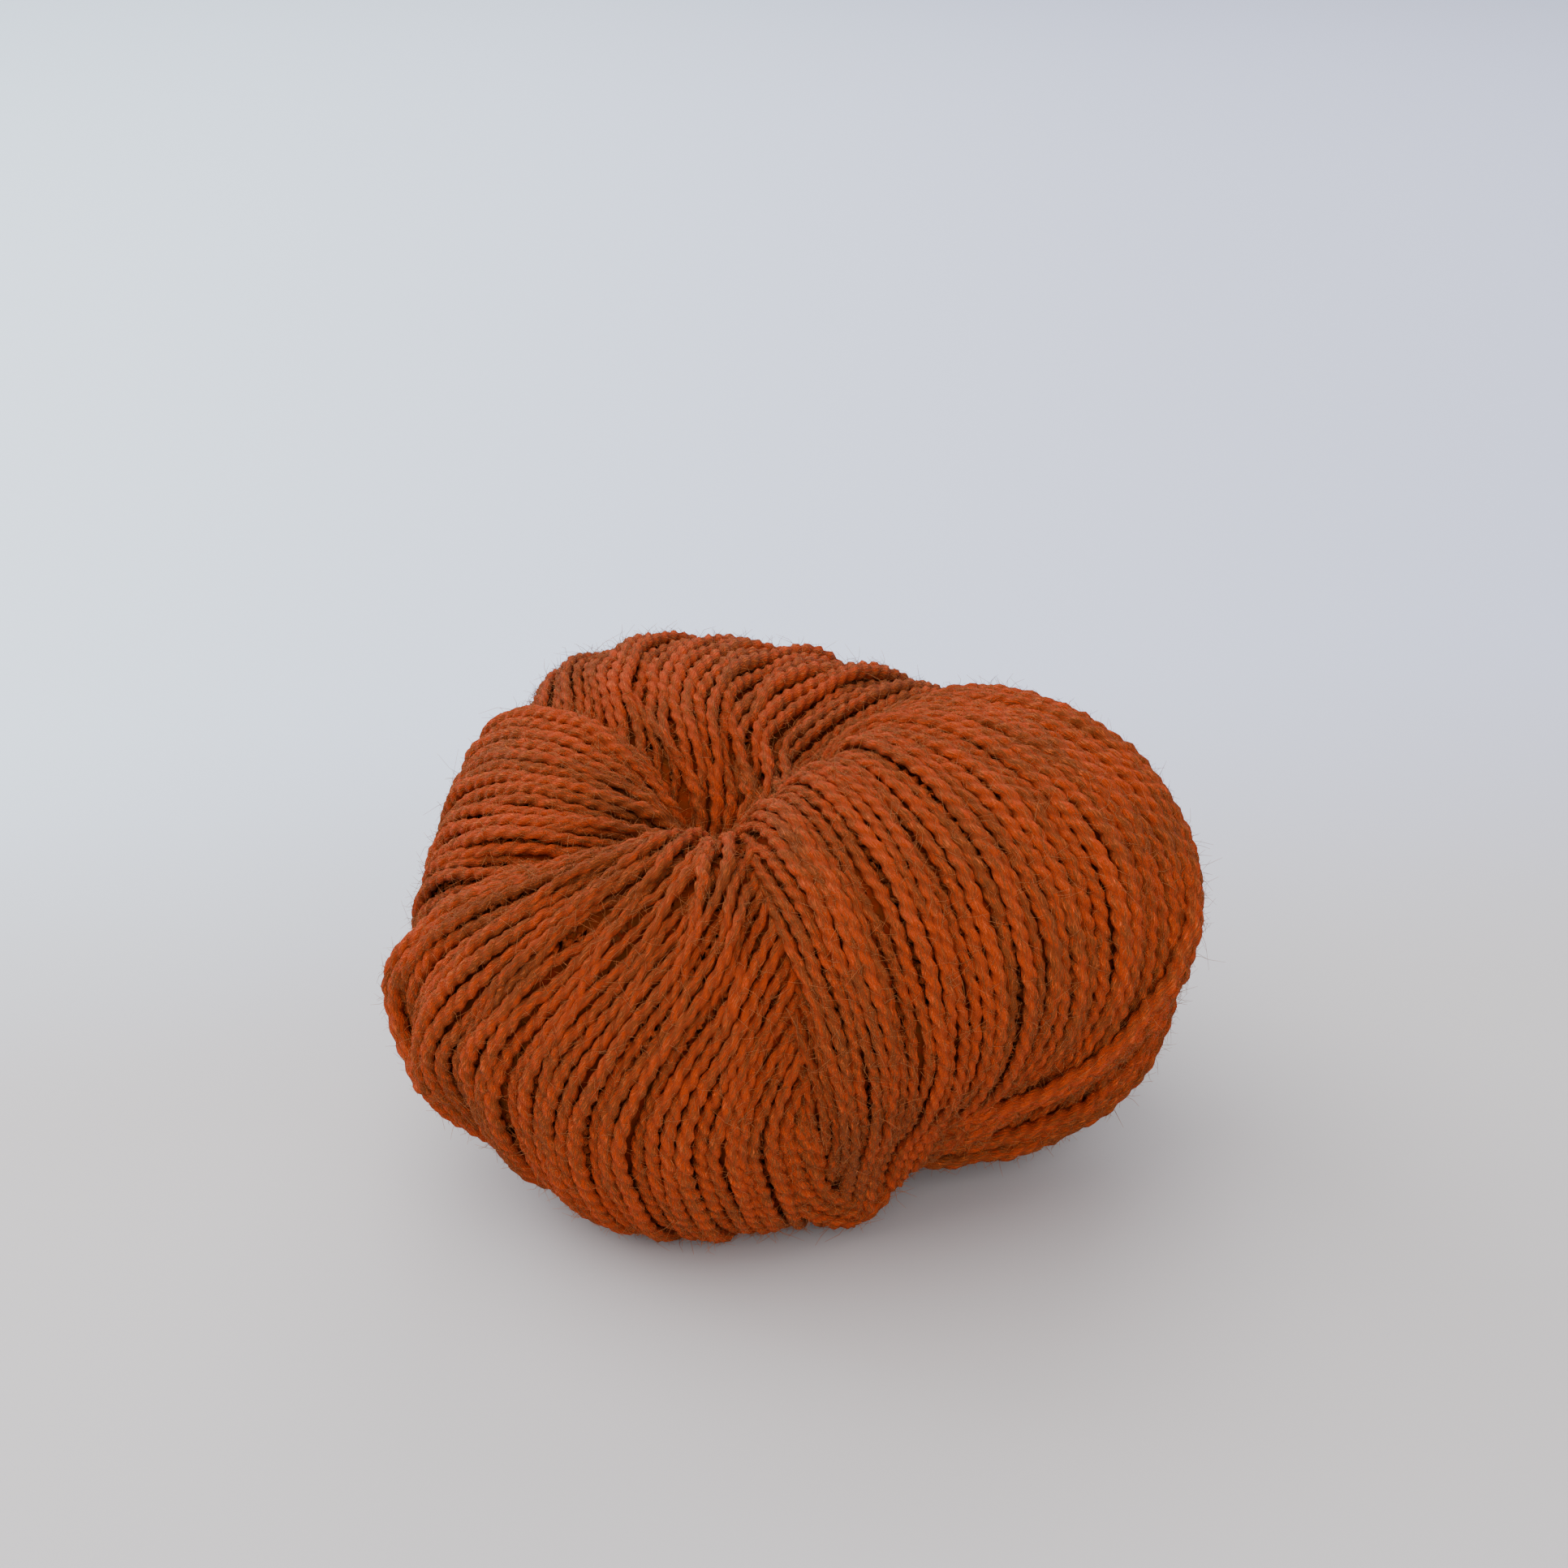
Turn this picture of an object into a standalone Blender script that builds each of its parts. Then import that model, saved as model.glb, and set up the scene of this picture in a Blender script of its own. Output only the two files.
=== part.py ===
"""A soft ball of two-ply wool yarn, wound round a funnel hollow.

The ball is one continuous winding, so it is one solid. It is a flattened round
body whose winding axis leans to the left and the front. Four bands of turns
overlap round the hollow like the petals of a whorl, the main twists of the
winding stand up along them, and a few loose turns stand off the lower edge.

Frame: metres, +Z up, front towards -Y. The origin is on the resting plane,
under the middle of the ball. A place on the ball is given by its heading
(degrees, counter-clockwise from +X, seen down the winding axis) and its drop
(degrees down from the top end of the winding axis).
"""

import math

import bmesh
import bpy
from mathutils import Matrix, Vector

MM = 0.001

# The plain wound body, from the point on the winding axis where all reaches are measured
REACH_RIGHT = 51.5 * MM
REACH_LEFT = 42.5 * MM
REACH_BACK = 55.5 * MM
REACH_FRONT = 34.0 * MM
REACH_UP = 32.0 * MM
REACH_DOWN = 34.0 * MM
FULLNESS = 2.2  # 2 is an ellipsoid, more has fuller shoulders
MIDDLE_HEIGHT = 31.5 * MM  # less than the reach down, because the foot is settled flat
LEAN_LEFT = 2.5  # degrees from the upright to the winding axis
LEAN_FRONT = 10.5

# Where the soft body swells out or is drawn in, each over a round patch
SWELL_COLUMNS = ("name", "heading", "drop", "height", "spread")
SWELLS = (
    ("back_left_shoulder", 130.0, 55.0, 4.0 * MM, 34.0),
    ("right_girth", 0.0, 75.0, 6.5 * MM, 26.0),
    ("back_right_slope", 52.0, 48.0, -9.5 * MM, 27.0),
    ("low_right_undercut", -37.0, 122.0, -12.0 * MM, 26.0),
    ("low_left_undercut", 202.0, 124.0, -6.0 * MM, 30.0),
    ("low_front_left_swell", 240.0, 118.0, 1.8 * MM, 24.0),
    ("low_front_swell", -66.0, 122.0, 3.0 * MM, 16.0),
    ("settled_foot", 48.0, 146.0, 5.0 * MM, 27.0),
    ("left_shoulder", 152.0, 62.0, -2.5 * MM, 22.0),
)

# The funnel hollow on top, wider towards the back left, and the shallow dimple underneath
HOLLOW_DEPTH = 20.0 * MM
HOLLOW_SPREAD_WIDE = 40.0
HOLLOW_SPREAD_NARROW = 13.0
HOLLOW_WIDE_HEADING = 145.0
HOLLOW_POINT = 1.3  # 2 is a round bowl, 1 is a sharp funnel
DIMPLE_DEPTH = 5.0 * MM
DIMPLE_SPREAD = 13.0

# Bands of turns, clockwise seen from above. Each band starts at its edge, whose
# heading is given at the hollow, at the girth and at the foot, and ends at the
# next band's edge. Turned_by is the drop at which the edge has come round from
# its heading at the hollow to its heading at the girth. The band stands up by
# its lift, which changes from start to end. Steps are its columns of faces.
BAND_COLUMNS = (
    "name", "at_hollow", "turned_by", "at_girth", "at_foot", "lift_start", "lift_end", "edge_width", "steps",
)
BANDS = (
    ("right", -58.0, 42.0, 46.0, 8.0, 6.2 * MM, 4.6 * MM, 2.0 * MM, 36),
    ("front", -78.0, 90.0, -75.0, -52.0, 3.6 * MM, 5.0 * MM, 9.0 * MM, 28),
    ("left", -132.0, 90.0, -174.0, -190.0, 1.2 * MM, 1.6 * MM, 2.0 * MM, 16),
    ("back", -185.0, 28.0, -228.0, -246.0, 0.0, 0.4 * MM, 2.0 * MM, 28),
)
EDGE_CROWDING = 0.35  # 0 spaces the columns evenly, 1 draws them all the way to the edges
LIFT_FULL_DROP = 22.0  # the lift grows from nothing at the hollow's point to all here
LIFT_FADE_DROP = 122.0  # and dies away between these two, towards the foot
LIFT_GONE_DROP = 172.0
CREASE_DEPTH = 2.6 * MM  # the groove along each proud edge
CREASE_WIDTH = 3.2 * MM
CREASE_FADE_DROP = 90.0
CREASE_GONE_DROP = 150.0

# Main twists: turns that lie together as raised ropes. Those of the right band
# run round a pole of their own, the others round the winding axis.
TWIST_HEIGHT = 0.8 * MM
TWISTS_ROUND = 30
TWISTS_BEAT = 23
BEAT_SHARE = 0.35
TWIST_START_DROP = 8.0
TWIST_FULL_DROP = 30.0
TWIST_FADE_DROP = 110.0
TWIST_GONE_DROP = 150.0
RIGHT_POLE_HEADING = 120.0
RIGHT_POLE_DROP = 62.0

# Loose turns that stand off the body, each along an arc between two places
LOOSE_COLUMNS = ("name", "from_heading", "from_drop", "to_heading", "to_drop", "height", "width")
LOOSE_TURNS = (
    ("low_right", 12.0, 99.0, -32.0, 123.0, 3.8 * MM, 4.6 * MM),
    ("under_right", 2.0, 111.0, -42.0, 130.0, 2.2 * MM, 4.6 * MM),
    ("low_front", -38.0, 110.0, -64.0, 130.0, 4.0 * MM, 4.8 * MM),
    ("low_left", 214.0, 84.0, 200.0, 104.0, 1.8 * MM, 4.2 * MM),
)
LOOSE_TAPER = 0.3  # the share of a loose turn's length over which each end rises

# Slow waves of a soft, handled winding: how many round, how many down, share, start
WAVE_HEIGHT = 0.5 * MM
WAVES = ((2, 3, 1.0, 0.0), (5, -2, 0.6, 1.0))

DROP_STEPS = 46

WOOL_COLOUR = (0.40, 0.085, 0.018, 1.0)
WOOL_ROUGHNESS = 0.95


def rows(columns, table):
    """The rows of a table, each as a dictionary by column."""
    return [dict(zip(columns, row)) for row in table]


BAND_ROWS = rows(BAND_COLUMNS, BANDS)
SWELL_ROWS = rows(SWELL_COLUMNS, SWELLS)
LOOSE_ROWS = rows(LOOSE_COLUMNS, LOOSE_TURNS)
RIGHT_BAND = BAND_ROWS[0]
HEADING_STEPS = sum(band["steps"] for band in BAND_ROWS)


def direction(heading, drop):
    """The unit vector of a place, in the frame of the winding axis."""
    h, d = math.radians(heading), math.radians(drop)
    return Vector((math.cos(h) * math.sin(d), math.sin(h) * math.sin(d), math.cos(d)))


def place_of(d):
    """The heading and the drop of a unit vector."""
    return math.degrees(math.atan2(d.y, d.x)), math.degrees(math.acos(max(-1.0, min(1.0, d.z))))


def smooth(x):
    """0 below 0, 1 above 1, and a soft step between."""
    x = min(max(x, 0.0), 1.0)
    return x * x * (3.0 - 2.0 * x)


def between(start, end, value):
    """A soft step from 0 at start to 1 at end."""
    return smooth((value - start) / (end - start))


def edge_heading(band, drop):
    """The heading of a band's edge at this drop."""
    upper = (band["at_girth"] - band["at_hollow"]) * between(0.0, band["turned_by"], drop)
    lower = (band["at_foot"] - band["at_girth"]) * between(90.0, 180.0, drop)
    return band["at_hollow"] + upper + lower


def column_heading(step, drop):
    """The heading at this drop of a column of faces, counted clockwise from the right band's edge."""
    for i, band in enumerate(BAND_ROWS):
        if step <= band["steps"]:
            break
        step -= band["steps"]
    part = step / band["steps"]
    part += EDGE_CROWDING * (smooth(part) - part)
    start = edge_heading(band, drop)
    span = (start - edge_heading(BAND_ROWS[(i + 1) % len(BAND_ROWS)], drop)) % 360.0
    return start - part * span


def body_radius(d):
    """From the middle to the plain body, in direction d."""
    reaches = (
        REACH_RIGHT if d.x > 0.0 else REACH_LEFT,
        REACH_BACK if d.y > 0.0 else REACH_FRONT,
        REACH_UP if d.z > 0.0 else REACH_DOWN,
    )
    return sum(abs(c / reach) ** FULLNESS for c, reach in zip(d, reaches)) ** (-1.0 / FULLNESS)


def swells(d):
    """The height of all swells at this place."""
    height = 0.0
    for swell in SWELL_ROWS:
        away = math.degrees(d.angle(direction(swell["heading"], swell["drop"])))
        height += swell["height"] * math.exp(-((away / swell["spread"]) ** 2))
    return height


def hollow_depth(heading, drop):
    """How far the surface is drawn in by the hollow and the dimple."""
    wide = 0.5 + 0.5 * math.cos(math.radians(heading - HOLLOW_WIDE_HEADING))
    spread = HOLLOW_SPREAD_NARROW + (HOLLOW_SPREAD_WIDE - HOLLOW_SPREAD_NARROW) * wide
    top = HOLLOW_DEPTH * math.exp(-((drop / spread) ** HOLLOW_POINT))
    low = DIMPLE_DEPTH * math.exp(-(((180.0 - drop) / DIMPLE_SPREAD) ** 2))
    return top + low


def band_shares(heading, drop, ring):
    """For each band: how much it holds this place, how far into it the place is, and its span.

    ring is the distance from the winding axis, which turns widths into angles.
    """
    shares = []
    for i, band in enumerate(BAND_ROWS):
        following = BAND_ROWS[(i + 1) % len(BAND_ROWS)]
        start = edge_heading(band, drop)
        span = (start - edge_heading(following, drop)) % 360.0
        margin = 180.0 - span / 2.0
        into = (start - heading + margin) % 360.0 - margin
        soft_in = math.degrees(band["edge_width"] / ring)
        soft_out = math.degrees(following["edge_width"] / ring)
        share = smooth(into / soft_in + 0.5) * smooth((span - into) / soft_out + 0.5)
        shares.append((band, share, into, span))
    total = max(sum(row[1] for row in shares), 0.001)
    return [(band, share / total, into, span) for band, share, into, span in shares]


def lift(shares, drop, ring):
    """The height of the bands over the plain body, with a groove at each edge."""
    groove_fade = between(CREASE_GONE_DROP, CREASE_FADE_DROP, drop) * between(0.0, LIFT_FULL_DROP, drop)
    height = 0.0
    for band, share, into, span in shares:
        across = min(max(into / span, 0.0), 1.0)
        level = band["lift_start"] + (band["lift_end"] - band["lift_start"]) * across
        from_edge = math.radians(abs(into)) * ring / CREASE_WIDTH
        height += level * share - CREASE_DEPTH * groove_fade * math.exp(-from_edge * from_edge)
    return height * between(0.0, LIFT_FULL_DROP, drop) * between(LIFT_GONE_DROP, LIFT_FADE_DROP, drop)


def rope_wave(turn):
    """Ropes of uneven width and height, from the slow beat of two even waves."""
    even, beat = math.cos(TWISTS_ROUND * turn), math.cos(TWISTS_BEAT * turn + 1.0)
    return (1.0 - BEAT_SHARE) * even + BEAT_SHARE * beat


def twists(shares, d, drop):
    """The raised ropes of turns along each band."""
    pole = direction(RIGHT_POLE_HEADING, RIGHT_POLE_DROP)
    side = pole.cross(Vector((0.0, 0.0, 1.0))).normalized()
    right_turn = math.atan2(d.dot(side), d.dot(side.cross(pole)))
    right_ropes = rope_wave(right_turn) * math.sin(d.angle(pole))
    ropes = 0.0
    for band, share, into, span in shares:
        turn = band["steps"] / HEADING_STEPS * math.tau * into / span
        ropes += share * (right_ropes if band is RIGHT_BAND else rope_wave(turn))
    fade = between(TWIST_START_DROP, TWIST_FULL_DROP, drop) * between(TWIST_GONE_DROP, TWIST_FADE_DROP, drop)
    return TWIST_HEIGHT * ropes * fade


def loose(d, radius):
    """The height of the loose turns at this place."""
    height = 0.0
    for turn in LOOSE_ROWS:
        start = direction(turn["from_heading"], turn["from_drop"])
        end = direction(turn["to_heading"], turn["to_drop"])
        normal = start.cross(end).normalized()
        off_line = math.asin(max(-1.0, min(1.0, d.dot(normal)))) * radius / turn["width"]
        along = math.atan2(d.dot(normal.cross(start)), d.dot(start)) / start.angle(end)
        ends = smooth(along / LOOSE_TAPER + 1.0) * smooth((1.0 - along) / LOOSE_TAPER + 1.0)
        height += turn["height"] * ends * math.exp(-off_line * off_line)
    return height


def waves(heading, drop):
    """The unevenness of a soft, handled winding."""
    h, d = math.radians(heading), math.radians(drop)
    height = sum(share * math.sin(round_ * h + down * d + start) for round_, down, share, start in WAVES)
    return WAVE_HEIGHT * height * math.sin(d)


def surface_radius(d):
    """From the middle of the ball to its surface, in direction d."""
    heading, drop = place_of(d)
    radius = body_radius(d) + swells(d) - hollow_depth(heading, drop)
    ring = max(radius * math.sin(math.radians(drop)), 1.0 * MM)
    shares = band_shares(heading, drop, ring)
    radius += lift(shares, drop, ring)
    radius += twists(shares, d, drop)
    radius += loose(d, radius)
    return radius + waves(heading, drop)


def wool():
    """Rust-orange wool, matt."""
    material = bpy.data.materials.new("wool_yarn")
    material.use_nodes = True
    shader = material.node_tree.nodes["Principled BSDF"]
    shader.inputs["Base Color"].default_value = WOOL_COLOUR
    shader.inputs["Roughness"].default_value = WOOL_ROUGHNESS
    shader.inputs["Metallic"].default_value = 0.0
    return material


def stand_on_origin(shape):
    """Centres the shape over the origin, sideways and front to back."""
    low = [min(v.co[i] for v in shape.verts) for i in range(2)]
    high = [max(v.co[i] for v in shape.verts) for i in range(2)]
    middle = Vector(((low[0] + high[0]) / 2, (low[1] + high[1]) / 2, 0.0))
    bmesh.ops.translate(shape, verts=shape.verts, vec=-middle)


def wound_ball(name, collection):
    """A globe whose columns run with the bands' edges, drawn out to the wound surface.

    What would reach below the resting plane is flattened on it, as a soft ball settles.
    """
    shape = bmesh.new()
    bmesh.ops.create_uvsphere(shape, u_segments=HEADING_STEPS, v_segments=DROP_STEPS, radius=1.0)
    lean = Matrix.Rotation(math.radians(LEAN_FRONT), 3, "X")
    lean = lean @ Matrix.Rotation(math.radians(-LEAN_LEFT), 3, "Y")
    for v in shape.verts:
        heading, drop = place_of(v.co.normalized())
        step = (-heading % 360.0) / 360.0 * HEADING_STEPS
        d = direction(column_heading(step, drop), drop)
        v.co = lean @ (d * surface_radius(d))
        v.co.z = max(v.co.z + MIDDLE_HEIGHT, 0.0)
    stand_on_origin(shape)
    bmesh.ops.recalc_face_normals(shape, faces=shape.faces)
    mesh = bpy.data.meshes.new(name)
    shape.to_mesh(mesh)
    shape.free()
    mesh.shade_smooth()
    mesh.materials.append(wool())
    ball = bpy.data.objects.new(name, mesh)
    collection.objects.link(ball)
    return ball


def main():
    for old in list(bpy.data.objects):
        bpy.data.objects.remove(old, do_unlink=True)
    parts = bpy.data.collections.new("yarn_cake")
    bpy.context.scene.collection.children.link(parts)
    wound_ball("yarn_cake", parts)


main()
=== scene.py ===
# %% [markdown]
# # A soft ball of wool yarn
#
# The object is one long two-ply yarn, wound by machine into a soft squat ball
# with a funnel hollow on top. The imported solid gives the form: a body, four
# overlapping bands of turns and their edges. This lesson winds real turns of
# yarn over that form, spins each from two plies, and gives the wool its
# heathered colour and its fuzz.

# %% The frame, and the parts of its solid
import math

import bpy
import numpy as np
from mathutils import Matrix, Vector
from mathutils.bvhtree import BVHTree


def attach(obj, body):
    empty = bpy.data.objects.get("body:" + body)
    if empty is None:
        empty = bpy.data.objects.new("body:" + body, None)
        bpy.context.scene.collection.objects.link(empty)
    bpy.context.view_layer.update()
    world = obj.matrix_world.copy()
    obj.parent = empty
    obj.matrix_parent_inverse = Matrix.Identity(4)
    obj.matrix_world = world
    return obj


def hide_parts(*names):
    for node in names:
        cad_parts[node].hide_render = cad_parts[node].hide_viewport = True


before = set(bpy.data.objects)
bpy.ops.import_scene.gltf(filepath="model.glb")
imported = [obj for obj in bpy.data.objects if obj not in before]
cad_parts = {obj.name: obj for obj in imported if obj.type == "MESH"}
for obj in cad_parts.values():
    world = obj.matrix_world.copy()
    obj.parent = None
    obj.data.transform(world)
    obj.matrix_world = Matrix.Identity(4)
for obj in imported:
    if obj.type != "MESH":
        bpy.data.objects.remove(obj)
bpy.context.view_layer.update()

MM = 0.001
BODY = "root"
rng = np.random.default_rng(20)

# %% [markdown]
# ## The camera
#
# The ball is looked down on from a little above its front, with a long lens.
# The camera is placed first, because every later choice is judged through it.
# It looks level along Y and is pitched down. The point AIM of the ball then
# lands on the pixel AIM_PIXEL of the square frame.

# %% The camera
FRAME_PIXELS = 1932
SENSOR = 36.0
LENS_PIXELS = 4048.0
PITCH = 26.0
REACH = 0.44
AIM = Vector((0.0, 0.0, 0.035))
AIM_PIXEL = (986.0, 1097.0)

pitch = math.radians(PITCH)
ahead = Vector((0.0, math.cos(pitch), -math.sin(pitch)))
upward = Vector((0.0, math.sin(pitch), math.cos(pitch)))
pixel = REACH / LENS_PIXELS
camera = bpy.data.objects.new("camera", bpy.data.cameras.new("camera"))
camera.data.sensor_width = SENSOR
camera.data.lens = SENSOR * LENS_PIXELS / FRAME_PIXELS
camera.location = AIM - REACH * ahead
camera.location.x -= (AIM_PIXEL[0] - FRAME_PIXELS / 2) * pixel
camera.location += upward * (AIM_PIXEL[1] - FRAME_PIXELS / 2) * pixel
camera.rotation_euler = (math.pi / 2 - pitch, 0.0, 0.0)
bpy.context.scene.collection.objects.link(camera)
bpy.context.scene.camera = camera
print("camera at", [round(c, 3) for c in camera.location], "lens", round(camera.data.lens, 1))

# %% [markdown]
# ## A small language for shaders
#
# Shader nodes are easier to read as formulas. `Value` wraps one socket, and
# its operators add Math nodes. `Shader.node` adds any other node, with its
# settings first and its sockets after.

# %% Values and nodes
class Value:
    """A socket that can be used in a formula."""

    def __init__(self, shader, socket):
        self.shader, self.socket = shader, socket

    def math(self, operation, *others):
        node = self.shader.nodes.new("ShaderNodeMath")
        node.operation = operation
        for slot, value in enumerate((self, *others)):
            self.shader.join(value, node.inputs[slot])
        return Value(self.shader, node.outputs[0])

    def swapped(self, operation, other):
        node = self.shader.nodes.new("ShaderNodeMath")
        node.operation = operation
        self.shader.join(other, node.inputs[0])
        self.shader.join(self, node.inputs[1])
        return Value(self.shader, node.outputs[0])

    def __add__(self, other):
        return self.math("ADD", other)

    __radd__ = __add__

    def __mul__(self, other):
        return self.math("MULTIPLY", other)

    __rmul__ = __mul__

    def __sub__(self, other):
        return self.math("SUBTRACT", other)

    def __rsub__(self, other):
        return self.swapped("SUBTRACT", other)

    def step(self, low, high):
        """0 below low, 1 above high, soft between."""
        node = self.shader.nodes.new("ShaderNodeMapRange")
        node.interpolation_type = "SMOOTHSTEP"
        self.shader.join(self, node.inputs["Value"])
        node.inputs["From Min"].default_value = low
        node.inputs["From Max"].default_value = high
        return Value(self.shader, node.outputs[0])


class Shader:
    """A new material and the means to build its node tree."""

    def __init__(self, name):
        self.material = bpy.data.materials.new(name)
        self.material.use_nodes = True
        self.nodes = self.material.node_tree.nodes
        self.surface = self.nodes["Principled BSDF"]

    def join(self, value, socket):
        if isinstance(value, Value):
            self.material.node_tree.links.new(value.socket, socket)
        else:
            socket.default_value = value

    def node(self, kind, output=0, settings=None, **sockets):
        node = self.nodes.new(kind)
        for name, value in (settings or {}).items():
            setattr(node, name, value)
        for name, value in sockets.items():
            self.join(value, node.inputs[name.replace("_", " ")])
        return Value(self, node.outputs[output])

    def blend(self, share, first, second):
        """Two colours, mixed by a value."""
        node = self.nodes.new("ShaderNodeMix")
        node.data_type = "RGBA"
        self.join(share, node.inputs[0])
        self.join(first, node.inputs[6])
        self.join(second, node.inputs[7])
        return Value(self, node.outputs[2])

    def noise(self, place, stretch, detail=2.0, rough=0.5):
        """Noise over a place, scaled in its three directions by the amounts in stretch."""
        scaled = self.node("ShaderNodeVectorMath", settings={"operation": "MULTIPLY"})
        node = scaled.socket.node
        self.join(place, node.inputs[0])
        node.inputs[1].default_value = stretch
        noise = {"Scale": 1.0, "Detail": detail, "Roughness": rough}
        return self.node("ShaderNodeTexNoise", Vector=scaled, **noise)

    def set(self, **sockets):
        for name, value in sockets.items():
            self.join(value, self.surface.inputs[name.replace("_", " ")])


# %% [markdown]
# ## The floor and the light
#
# The ball stands on a plain pale surface that is warm grey in front and turns
# a cool pale lavender behind. The lavender is painted lighter towards the left:
# painted light. One wide floor carries both colours, blended where the soft line
# shows behind the ball, so that no wall gets in the way of a look from the back.
# The light is a large soft one from above left, with a weaker one in front, two
# cool ones behind, and a pale sky.

# %% The floor
WARM_GREY = (0.55, 0.52, 0.515, 1.0)
# Painted light: the lavender's lighter left end, as if lit from the left.
LAVENDER_PAINTED_LIT = (0.80, 0.90, 1.0, 1.0)
COOL_LAVENDER = (0.60, 0.63, 0.80, 1.0)
FLOOR_SIZE = 4.0
OBJECT_PLACE = 3  # the number of the Texture Coordinate node's Object output


def floor_finish():
    """Warm grey in front, lavender behind painted lighter towards the left as painted light, with a
    faint mottle.
    """
    shader = Shader("floor_paint")
    place = shader.node("ShaderNodeTexCoord", OBJECT_PLACE)
    parts = shader.node("ShaderNodeSeparateXYZ", Vector=place)
    across = Value(shader, parts.socket.node.outputs["X"])
    back = Value(shader, parts.socket.node.outputs["Y"])
    mottle = shader.node("ShaderNodeTexNoise", Vector=place, Scale=9.0, Detail=3.0)
    behind = (back - across * 0.16 + mottle * 0.03).step(0.02, 0.17)
    # Painted light: the lavender turns lighter towards the left.
    lavender = shader.blend(across.step(-0.25, 0.15), LAVENDER_PAINTED_LIT, COOL_LAVENDER)
    shader.set(Base_Color=shader.blend(behind, WARM_GREY, lavender), Roughness=mottle * 0.15 + 0.6)
    return shader.material


bpy.ops.object.select_all(action="DESELECT")
bpy.ops.mesh.primitive_plane_add(size=FLOOR_SIZE)
floor = bpy.context.object
floor.name = "floor"
floor.data.materials.append(floor_finish())
print("floor", FLOOR_SIZE, "m across")

# %% The lights
LIGHT_COLUMNS = ("name", "x", "y", "z", "size", "power", "colour")
LIGHTS = (
    ("soft_overhead_left", -0.26, -0.08, 0.62, 0.90, 6.4, (1.0, 0.98, 0.96)),
    ("fill_front", 0.15, -0.70, 0.22, 0.90, 5.6, (1.0, 0.975, 0.965)),
    ("back_rim", 0.10, 0.60, 0.45, 0.50, 2.5, (0.93, 0.95, 1.0)),
    ("cool_back_left", -0.80, 0.60, 0.50, 0.70, 8.5, (0.80, 0.90, 1.0)),
)
SKY = (0.80, 0.82, 0.88, 1.0)
SKY_STRENGTH = 0.78

for row in LIGHTS:
    spec = dict(zip(LIGHT_COLUMNS, row))
    light = bpy.data.lights.new(spec["name"], "AREA")
    light.size = spec["size"]
    light.energy = spec["power"]
    light.color = spec["colour"]
    lamp = bpy.data.objects.new(spec["name"], light)
    lamp.location = (spec["x"], spec["y"], spec["z"])
    lamp.rotation_euler = (AIM - lamp.location).to_track_quat("-Z", "Y").to_euler()
    bpy.context.scene.collection.objects.link(lamp)

sky = bpy.data.worlds.new("soft_sky")
sky.use_nodes = True
sky.node_tree.nodes["Background"].inputs["Color"].default_value = SKY
sky.node_tree.nodes["Background"].inputs["Strength"].default_value = SKY_STRENGTH
bpy.context.scene.world = sky
print(len(LIGHTS), "lights and a pale sky")

# %% [markdown]
# ## The wool
#
# The yarn is a heather: most fibres are a warm rust orange, some a brown olive,
# and they were spun together, so the brown shows as short streaks that follow
# the plies. Every tube of yarn carries a place of its own: how far along the
# yarn, and where round it. Noise that is stretched along this place gives the
# streaks, at any bend of the yarn. Fine noise gives the fibres their relief,
# and a constant sheen stands for the halo of the finest hairs.
# The creases between the plies are blended towards a deep rust: painted shade.

# %% The wool's finishes
ORANGE = (0.54, 0.046, 0.003, 1.0)
PALE_ORANGE = (0.80, 0.130, 0.020, 1.0)
FUZZ_ORANGE = (0.92, 0.27, 0.075, 1.0)
FUZZ_TIP = (1.0, 0.52, 0.25, 1.0)
BROWN = (0.138, 0.040, 0.008, 1.0)
# Painted shade: the dark rust that the creases between the plies are blended towards.
GROOVE_PAINTED_SHADE = (0.27, 0.023, 0.002, 1.0)
# Painted shade: the core's wool is far darker than the turns', for the deep gaps; rust and brown
# mix in clumps.
SHADED_CORE_RUST = (0.20, 0.017, 0.0015, 1.0)
SHADED_CORE_BROWN = (0.11, 0.026, 0.004, 1.0)
SHEEN_TINT = (1.0, 0.38, 0.14, 1.0)
FIBRE_RELIEF = 0.8 * MM
CLUMP_RELIEF = 0.4 * MM


def wool_finish(name, sheen, plain, pale, pale_share, brown_share):
    """Wool in a plain colour with brown and pale fibres in it, along the yarn."""
    shader = Shader(name)
    place = shader.node("ShaderNodeAttribute", 1, {"attribute_name": "yarn_place"})
    tone = shader.node("ShaderNodeAttribute", 2, {"attribute_name": "yarn_tone"})
    groove_shade = shader.node("ShaderNodeAttribute", 2, {"attribute_name": "ply_groove_painted_shade"})
    patches = shader.noise(place, (0.13, 0.8, 0.8), 2.0, 0.6)
    streaks = shader.noise(place, (0.55, 3.4, 3.4), 2.0, 0.65)
    fibres = shader.noise(place, (0.9, 7.0, 7.0), 2.0, 0.7)
    ball = shader.node("ShaderNodeTexCoord", OBJECT_PLACE)
    clouds = shader.node("ShaderNodeTexNoise", Vector=ball, Scale=70.0, Detail=2.0)
    heather = (patches * 0.6 + streaks * 1.1 + clouds * 0.5 + tone * 0.03).step(1.01, 1.22)
    colour = shader.blend(heather * brown_share, plain, BROWN)
    paler = (fibres * 0.6 + streaks * 0.4).step(0.47, 0.66)
    colour = shader.blend(paler * pale_share, colour, pale)
    # Painted shade in the creases between the plies.
    colour = shader.blend(groove_shade * 0.5, colour, GROOVE_PAINTED_SHADE)
    relief = streaks * 0.5 + fibres.step(0.3, 0.7) * 0.5
    bump = shader.node("ShaderNodeBump", Height=relief, Strength=1.0, Distance=FIBRE_RELIEF)
    shader.set(Base_Color=colour, Roughness=0.98 - fibres * 0.2, Normal=bump)
    shader.set(Sheen_Weight=sheen, Sheen_Roughness=0.45, Sheen_Tint=SHEEN_TINT)
    shader.set(Specular_IOR_Level=0.15)
    return shader.material


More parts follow.
